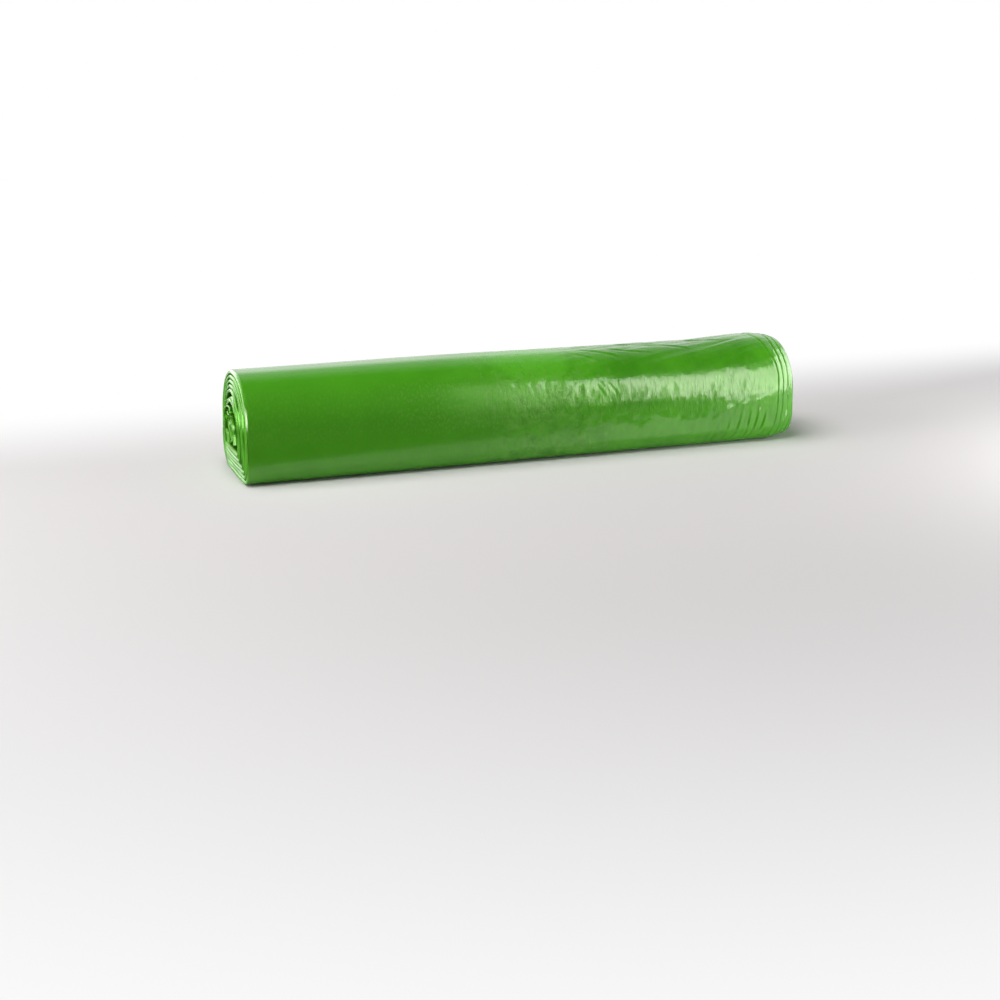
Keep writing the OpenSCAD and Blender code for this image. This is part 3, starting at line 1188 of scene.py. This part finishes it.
@dataclass(frozen=True)
class FilmFinish:
    """Glossy green polyethylene film, in a tight stack or crumpled."""

    name: str = "green_film"
    deep: Colour = (0.054, 0.310, 0.0060, 1.0)
    fresh: Colour = (0.078, 0.390, 0.0100, 1.0)
    milky: Colour = (0.150, 0.420, 0.0550, 1.0)
    edge: Colour = (0.150, 0.520, 0.0420, 1.0)
    bright: Colour = (0.100, 0.470, 0.0160, 1.0)
    # Painted shade: laid in the gaps between turns and in the hollow, in crumple pits, in lines between
    # the plies on the lips, and on the top and upper front over part of the right half
    painted_shade: Colour = (0.020, 0.130, 0.0020, 1.0)
    # Painted glow: emission on the film's edges and, weaker, on all film inside the roll, standing in for
    # light that shows through the film
    painted_glow: Colour = (0.20, 1.00, 0.0150, 1.0)
    painted_glow_strength: float = 0.05
    none: Colour = (0.0, 0.0, 0.0, 1.0)
    roughness: float = 0.17
    refraction: float = 1.5
    coat: float = 0.45
    coat_roughness: float = 0.06
    specular_tint: Colour = (1.0, 1.0, 0.72, 1.0)
    bump_strength: float = 0.8
    bump_height: float = 0.26 * MM
    # Zones along the roll, in metres
    on_right: Pair = (-0.09, 0.05)
    past_middle: Pair = (0.0, 0.045)
    crinkled: Zone = (-0.05, 0.0, 0.03, 0.08)
    ruffled: Zone = (-0.035, -0.010, 0.030, 0.055)
    brightened: Zone = (-0.030, -0.010, 0.020, 0.032)
    # Painted shade on the top and upper front over part of the right half
    shaded: Zone = (0.03, 0.07, 0.13, 0.155)
    hazy: Zone = (-0.07, -0.03, 0.005, 0.022)
    grain_start: Pair = (-0.11, -0.04)
    grain_end: Pair = (0.0, 0.05)
    ragged_patch: float = 0.030
    # Zones round the film, from the tip of its tail, in metres
    on_front: Pair = (0.080, 0.092)
    shade_foot: Pair = (0.108, 0.120)
    low_down: Pair = (0.112, 0.124)
    # Heights above the table, in metres, over which the bright patch begins, the painted
    # shade in lines between the plies on the lips grows weaker, matt lips end and lips grow glossy
    patch_height: Pair = (0.040, 0.052)
    ply_line_height: Pair = (0.03, 0.05)
    matt_height: Pair = (0.015, 0.040)
    glossy_height: Pair = (0.015, 0.045)
    # Nearness to an edge over which each look begins or ends
    light_edge: Pair = (0.1, 0.6)
    gap_shade: Pair = (0.04, 0.45)
    matt_gap: Pair = (0.05, 0.5)
    ply_line_edge: Pair = (0.0, 0.2)
    ply_edge: Pair = (0.0, 0.5)
    # Values of a noise between which its marks show
    speck_marks: Pair = (0.50, 0.72)
    pit_shade_marks: Pair = (0.50, 0.36)
    peak_marks: Pair = (0.52, 0.66)
    fine_marks: Pair = (0.48, 0.62)
    strand_marks: Pair = (0.47, 0.58)
    dash_marks: Pair = (0.50, 0.66)
    streak_marks: Pair = (0.50, 0.68)
    mottle: FilmNoise = FilmNoise(1.0, 38.0, 3.0, 0.55)
    specks: FilmNoise = FilmNoise(0.45, 210.0, 3.0, 0.6)
    fine: FilmNoise = FilmNoise(0.50, 760.0, 3.0, 0.7)
    crumple: FilmNoise = FilmNoise(1.0, 135.0, 5.0, 0.7)
    strands: FilmNoise = FilmNoise(0.03, 1300.0, 2.0, 0.6)
    streaks: FilmNoise = FilmNoise(0.14, 900.0, 3.0, 0.6)
    dashes: FilmNoise = FilmNoise(0.36, 520.0, 2.0, 0.6)
    plies: FilmNoise = FilmNoise(0.03, 4200.0, 1.0, 0.5)

    def find_place(self, graph: Graph) -> FilmPlace:
        """Adds the nodes that tell where a point lies on the roll and on its film.

        Args:
            graph: The material's graph.

        Returns:
            The point's place, its zones and its noises.
        """
        film = graph.node("ShaderNodeUVMap", {"uv_map": "film"})
        spot = graph.node("ShaderNodeTexCoord").output("Object")
        along = graph.node("ShaderNodeSeparateXYZ", None, Vector=spot)
        round_it = graph.node("ShaderNodeSeparateXYZ", None, Vector=film).output("Y")
        lip, buried = graph.attribute("lip"), graph.attribute("buried")
        right = graph.rise(along, *self.on_right)
        calm = 1 - (0.8 - right * 0.1) * graph.rise(round_it, *self.low_down)
        ruffled = graph.zone(along, *self.ruffled) * graph.rise(round_it, *self.on_front)
        # Painted shade in the gaps between turns and in the hollow, on film inside the roll away from its
        # lips
        gap = buried * (1 - graph.rise(lip, *self.gap_shade))
        slanted = graph.node(
            "ShaderNodeCombineXYZ", None, X=along + round_it * 0.6, Y=round_it * 1.3 - along * 0.4,
        )
        return FilmPlace(
            film, along, round_it, along.output("Z"), lip, buried, right, calm, ruffled, gap,
            self.specks.build(graph, film), self.fine.build(graph, film),
            self.crumple.build(graph, slanted),
        )

    def add_colour(self, graph: Graph, at: FilmPlace) -> Shade:
        """Adds the base colour: mottled green, milkier and brighter film, lighter lips, and painted shade
        in gaps, pits, ply lines and on part of the top.

        Args:
            graph: The material's graph.
            at: The shaded point's place.

        Returns:
            The colour.
        """
        mottle = self.mottle.build(graph, at.film)
        strands = self.strands.build(graph, at.film)
        base = graph.blend(0.5 + (mottle - 0.5) * (1.2 + at.right * 2.4), self.deep, self.fresh)
        milkiness = 0.02 + graph.zone(at.along, *self.crinkled) * 0.45 + at.right * 0.12
        patch = graph.zone(at.along + (mottle - 0.5) * self.ragged_patch, *self.brightened)
        patch = patch * graph.rise(at.high, *self.patch_height)
        grained = graph.rise(at.along, *self.grain_start) * 0.6 + 0.4
        grained = grained * (1 - graph.rise(at.along, *self.grain_end)) * at.calm
        grained = grained * graph.rise(at.round_it, *self.on_front)
        # Painted shade on the top and upper front over part of the right half
        shaded = graph.zone(at.along, *self.shaded) * (1 - graph.rise(at.round_it, *self.shade_foot))
        # Painted shade in lines between the plies on the lips, weaker higher up
        ply_line_shade = graph.rise(at.lip, *self.ply_line_edge) * graph.rise(strands, *self.strand_marks)
        layers = (
            (graph.rise(at.specks, *self.speck_marks) * milkiness, self.milky),
            (patch * 0.8, self.bright),
            # Painted shade in the crumple pits of the ruffled patch
            (graph.rise(at.crumple, *self.pit_shade_marks) * at.ruffled * 0.36, self.painted_shade),
            (graph.rise(at.crumple, *self.peak_marks) * at.ruffled * 0.50, self.milky),
            (graph.rise(at.fine, *self.fine_marks) * grained * 0.60, self.milky),
            (shaded * 0.22, self.painted_shade),
            # Painted shade in the gaps between turns
            (at.gap * 0.85, self.painted_shade),
            (graph.rise(at.lip, *self.light_edge) * (0.8 - at.buried * 0.35), self.edge),
            (ply_line_shade * (0.7 - graph.rise(at.high, *self.ply_line_height) * 0.4), self.painted_shade),
        )
        for share, colour in layers:
            base = graph.blend(share, base, colour)
        return base

    def add_normal(self, graph: Graph, at: FilmPlace) -> Shade:
        """Adds the bump: short streaks on the right, crumples, and ply edges on the lips.

        Args:
            graph: The material's graph.
            at: The shaded point's place.

        Returns:
            The normal.
        """
        streaks = self.streaks.build(graph, at.film)
        dashes = self.dashes.build(graph, at.film)
        plies = self.plies.build(graph, at.film)
        flecks = graph.rise(dashes, *self.dash_marks) - graph.rise(streaks, *self.streak_marks) * 0.6
        coarse = graph.rise(at.along, *self.past_middle)
        height = (streaks * 0.5 + dashes * 0.5 + flecks * 0.26) * coarse + at.fine * (1 - coarse) * 1.5
        height = height * (0.05 + at.right * 0.55) * at.calm + at.crumple * at.ruffled * 1.1
        height = height + plies * graph.rise(at.lip, *self.ply_edge) * 0.2
        return graph.node(
            "ShaderNodeBump", None, Strength=self.bump_strength, Distance=self.bump_height, Height=height,
        )

    def add_roughness(self, graph: Graph, at: FilmPlace) -> Shade:
        """Adds the roughness: a haze in the middle, and matt film in the gaps and low lips.

        Args:
            graph: The material's graph.
            at: The shaded point's place.

        Returns:
            The roughness.
        """
        rough = self.roughness + (at.specks - 0.5) * 0.10 + at.right * 0.06 * at.calm
        rough = rough - 0.04 * (1 - at.calm) + graph.zone(at.along, *self.hazy) * 0.07 * at.calm
        rough = rough + at.buried * 0.28 * (1 - graph.rise(at.lip, *self.matt_gap))
        return rough + at.lip * (1 - graph.rise(at.high, *self.matt_height)) * 0.25

    def build(self) -> bpy.types.Material:
        """Makes the material.

        Returns:
            The film's material.
        """
        material = bpy.data.materials.new(self.name)
        material.use_nodes = True
        graph = Graph(material.node_tree)
        at = self.find_place(graph)
        # Share of the painted glow: strongest on the lips, weaker on all film inside the roll
        lit = graph.rise(at.lip, *self.light_edge) * 0.8 + at.buried * 0.2
        glossy = graph.rise(at.high, *self.glossy_height) * 0.85 - 0.35
        coat = self.coat - at.right * 0.15 + at.lip * glossy
        film_shader = graph.node(
            "ShaderNodeBsdfPrincipled", None,
            Base_Color=self.add_colour(graph, at), Roughness=self.add_roughness(graph, at),
            Metallic=at.gap * 0.85, IOR=self.refraction, Specular_Tint=self.specular_tint,
            Specular_IOR_Level=0.5,
            Coat_Weight=coat * (1 - at.buried * 0.9), Coat_Roughness=self.coat_roughness,
            Coat_IOR=self.refraction, Normal=self.add_normal(graph, at),
            Emission_Color=graph.blend(lit, self.none, self.painted_glow),
            Emission_Strength=self.painted_glow_strength,
        )
        graph.node("ShaderNodeOutputMaterial", None, Surface=film_shader)
        return material


def ways(azimuth: Array, elevation: Array) -> Array:
    """Returns unit vectors, one row each, towards places seen from the roll, in degrees."""
    turn, rise = np.radians(azimuth), np.radians(elevation)
    return np.column_stack([np.sin(turn) * np.cos(rise), -np.cos(turn) * np.cos(rise), np.sin(rise)])


@dataclass(frozen=True)
class Lamp:
    """A soft box that isn't mirrored, by the direction it is seen in from the roll."""

    name: str
    azimuth: float
    elevation: float
    distance: float
    size: Pair
    power: float

    def build(self, target: Vector) -> bpy.types.Object:
        """Hangs the lamp so that it faces the target.

        Args:
            target: The place that the lamp points to.

        Returns:
            The lamp.
        """
        way = Vector(ways(self.azimuth, self.elevation)[0])
        data = bpy.data.lights.new(self.name, "AREA")
        data.shape = "RECTANGLE"
        data.size, data.size_y = self.size
        data.energy = self.power
        lamp = bpy.data.objects.new(self.name, data)
        bpy.context.scene.collection.objects.link(lamp)
        lamp.location = target + way * self.distance
        lamp.rotation_euler = (-way).to_track_quat("-Z", "Y").to_euler()
        lamp.visible_glossy = lamp.visible_camera = False
        return lamp


@dataclass(frozen=True)
class Card:
    """A curved white card round the roll that only mirrored rays see.

    Each column holds the card's azimuth, its lower and upper edges' elevations and its
    brightness there, as seen from the roll. Angles are in degrees.
    """

    name: str
    columns: tuple[tuple[float, float, float, float], ...]
    distance: float
    strength: float
    fade: float = 0.0
    centre: tuple[float, float, float] = (0.0, 0.0, 0.03)
    step: float = 0.5
    rows: int = 12

    def build(self) -> bpy.types.Object:
        """Bends the card out of a grid round its centre.

        Returns:
            The card.
        """
        table = np.array(self.columns)
        count = int((table[-1, 0] - table[0, 0]) / self.step)
        deselect_all()
        bpy.ops.mesh.primitive_grid_add(x_subdivisions=count, y_subdivisions=self.rows, size=1)
        card = bpy.context.object
        card.name = card.data.name = self.name
        flat = coordinates(card) + 0.5
        azimuth = mix(table[0, 0], table[-1, 0], flat[:, 0])
        low, high, glow = (np.interp(azimuth, table[:, 0], table[:, column]) for column in (1, 2, 3))
        way = ways(azimuth, mix(low, high, flat[:, 1]))
        set_coordinates(card, np.array(self.centre) + way * self.distance)
        if self.fade:
            glow = glow * ease(flat[:, 1] / self.fade) * ease((1 - flat[:, 1]) / self.fade)
        set_attribute(card, "glow", glow)
        material = bpy.data.materials.new(self.name)
        material.use_nodes = True
        graph = Graph(material.node_tree)
        share = graph.node("ShaderNodeAttribute", {"attribute_name": "glow"})
        light = graph.light(share, self.strength)
        graph.node("ShaderNodeOutputMaterial", None, Surface=light)
        card.data.materials.append(material)
        card.visible_camera = card.visible_diffuse = card.visible_shadow = False
        return card


@dataclass
class Studio:
    """Pale floor, soft boxes, bright surroundings and the camera."""

    floor_size: float = 6.0
    floor_colour: Colour = (0.745, 0.72, 0.72, 1.0)
    dim_colour: Colour = (0.07, 0.08, 0.07, 1.0)
    white: Colour = (1.0, 1.0, 1.0, 1.0)
    glare: Colour = (3.0, 3.0, 3.0, 1.0)
    glow_colour: Colour = (9.8, 9.8, 9.8, 1.0)
    target: tuple[float, float, float] = (0.0, 0.0, 0.03)
    # The film mirrors the pale floor only up to a line in front of the roll, and up to
    # another past its left end
    pale_edge: float = -0.098
    pale_slope: float = -0.11
    pale_blur: float = 0.004
    left_edge: Pair = (-0.185, -0.200)
    left_slope: float = 0.3
    # Beyond that line the film mirrors a glow at the right, up to a place in front
    glow_side: Pair = (0.115, 0.130)
    glow_slope: float = 0.4
    glow_front: Pair = (-0.165, -0.150)
    # Bright strip of floor that the film mirrors close in front of it
    strip_side: Pair = (-0.06, 0.14)
    strip_front: Pair = (-0.075, -0.042)
    strip_share: float = 0.6
    strip_strength: float = 2.2
    # Distances over which the floor turns white to the camera, all round and behind
    white_round: Pair = (0.22, 0.80)
    white_behind: Pair = (0.03, 0.20)
    ambient: float = 0.045
    # Surroundings mirrored from behind: the strength of two layers, and the heights over
    # which each fades
    backdrops: tuple[tuple[float, Pair], ...] = ((0.185, (0.72, 0.97)), (0.155, (0.34, 0.60)))
    backdrop_depth: Pair = (0.0, 0.35)
    backdrop_left: Pair = (0.12, -0.12)
    backdrop_gain: float = 2.6
    camera_place: tuple[float, float, float] = (-0.40333, -1.11624, 0.30846)
    camera_turn: tuple[float, float, float] = (73.98, 0.0, -19.41)
    lens: float = 71.46
    sensor: float = 36.0
    lamps: tuple[Lamp, ...] = (
        Lamp("top_box", -86.0, 72.0, 1.25, (1.2, 0.9), 15.0),
        Lamp("left_box", -94.0, 16.0, 1.2, (0.6, 0.8), 6.0),
        Lamp("right_box", 64.0, 4.0, 0.5, (0.2, 0.1), 1.0),
    )
    cards: tuple[Card, ...] = (
        Card("front_card", (
            (22.6, 0, 16, 0.0), (23.8, 0, 24, 0.05), (26.0, 0, 31, 0.12), (27.3, 0, 34, 0.35),
            (28.5, 0, 37, 0.85), (30.0, 0, 41, 1.1), (33.0, 0, 49, 1.15), (35.0, 0, 53, 0.8),
            (38.0, 0, 49, 0.7), (39.5, 0, 40, 0.8), (40.5, 0, 33, 0.8), (46.0, 0, 33, 0.6),
            (60.0, 0, 36, 0.75), (90.0, 0, 36, 0.7), (125.0, 0, 30, 0.0),
        ), distance=1.3, strength=9.8),
        Card("left_card", (
            (-100.0, -9, 44, 0.0), (-66.0, -9, 44, 0.6), (-50.0, -9, 44, 1.0), (-30.0, -9, 44, 1.0),
            (-16.0, -9, 44, 0.6),
        ), distance=0.18, strength=12.5, fade=0.4, centre=(-0.175, -0.02, 0.034)),
    )

    def build(self) -> None:
        """Sets up the whole studio."""
        for lamp in self.lamps:
            lamp.build(Vector(self.target))
        for card in self.cards:
            card.build()
        self.build_floor()
        self.build_world()
        self.build_camera()
        bpy.context.scene.view_settings.view_transform = "Standard"

    def build_floor(self) -> None:
        """Lays the floor, white far from the roll for the camera and dim for mirrored rays."""
        deselect_all()
        bpy.ops.mesh.primitive_plane_add(size=self.floor_size)
        floor = bpy.context.object
        floor.name = "floor"
        material = bpy.data.materials.new("pale_floor")
        material.use_nodes = True
        graph = Graph(material.node_tree)
        spot = graph.node("ShaderNodeTexCoord").output("Object")
        x = graph.node("ShaderNodeSeparateXYZ", None, Vector=spot)
        y = x.output("Y")
        front_y = graph.maths("MAXIMUM", y, 0.0)
        far = graph.node("ShaderNodeVectorMath", {"operation": "LENGTH"}, in_0=spot).output("Value")
        rays = graph.node("ShaderNodeLightPath")
        mirrored = rays.output("Is Glossy Ray")
        line = (self.pale_edge - self.pale_blur, self.pale_edge + self.pale_blur)
        beyond = 1 - graph.rise(y - x * self.pale_slope, *line)
        past_left = graph.rise(x + front_y * self.left_slope, *self.left_edge)
        dim_share = graph.maths("MAXIMUM", beyond, past_left) * mirrored
        right = graph.rise(x + y * self.glow_slope, *self.glow_side)
        right = right * (1 - graph.rise(y, *self.glow_front))
        dim = graph.light(graph.blend(right, self.dim_colour, self.glow_colour), 1.0)
        strip = graph.rise(x, *self.strip_side) * (1 - graph.rise(y, *self.strip_front))
        lit = graph.node("ShaderNodeBsdfDiffuse", None, Color=self.floor_colour)
        bright = graph.light(self.white, self.strip_strength)
        close = graph.either(strip * mirrored * self.strip_share, lit, bright)
        near = graph.either(dim_share, close, dim)
        faded = graph.maths(
            "MAXIMUM", graph.rise(far, *self.white_round), graph.rise(y, *self.white_behind)
        )
        blank = graph.light(self.white, 1.0)
        shown = graph.either(faded * rays.output("Is Camera Ray"), near, blank)
        graph.node("ShaderNodeOutputMaterial", None, Surface=shown)
        floor.data.materials.append(material)

    def build_world(self) -> None:
        """Makes surroundings that are white to the camera and bright behind the roll."""
        world = bpy.data.worlds.new("surroundings")
        bpy.context.scene.world = world
        world.use_nodes = True
        graph = Graph(world.node_tree)
        way = graph.node("ShaderNodeTexCoord").output("Generated")
        rays = graph.node("ShaderNodeLightPath")
        across = graph.node("ShaderNodeSeparateXYZ", None, Vector=way)
        high = across.output("Z")
        backdrop = graph.rise(across.output("Y"), *self.backdrop_depth)
        backdrop = backdrop * (1 + self.backdrop_gain * graph.rise(across, *self.backdrop_left))
        layers = [(1 - graph.rise(high, *span)) * strength for strength, span in self.backdrops]
        mirrored = graph.blend(backdrop * (layers[0] + layers[1]), self.dim_colour, self.glare)
        plain = (self.ambient, self.ambient, self.ambient, 1.0)
        colour = graph.blend(rays.output("Is Glossy Ray"), plain, mirrored)
        colour = graph.blend(rays.output("Is Camera Ray"), colour, self.white)
        sky = graph.node("ShaderNodeBackground", None, Color=colour, Strength=1.0)
        graph.node("ShaderNodeOutputWorld", None, Surface=sky)

    def build_camera(self) -> None:
        """Places the camera at the photograph's viewpoint."""
        data = bpy.data.cameras.new("camera")
        data.lens = self.lens
        data.sensor_width = self.sensor
        camera = bpy.data.objects.new("camera", data)
        bpy.context.scene.collection.objects.link(camera)
        camera.location = self.camera_place
        camera.rotation_euler = Euler([math.radians(angle) for angle in self.camera_turn])
        bpy.context.scene.camera = camera


def main() -> None:
    """Builds the studio and the roll, and logs the face count of each piece."""
    logging.basicConfig(level=logging.INFO, format="%(name)s: %(message)s")
    Studio().build()
    film = FilmFinish().build()
    winding = Winding()
    WoundStack(winding, Wrinkles(winding)).build(film)
    LoosePlies(winding).build(film)


if __name__ == "__main__":
    main()
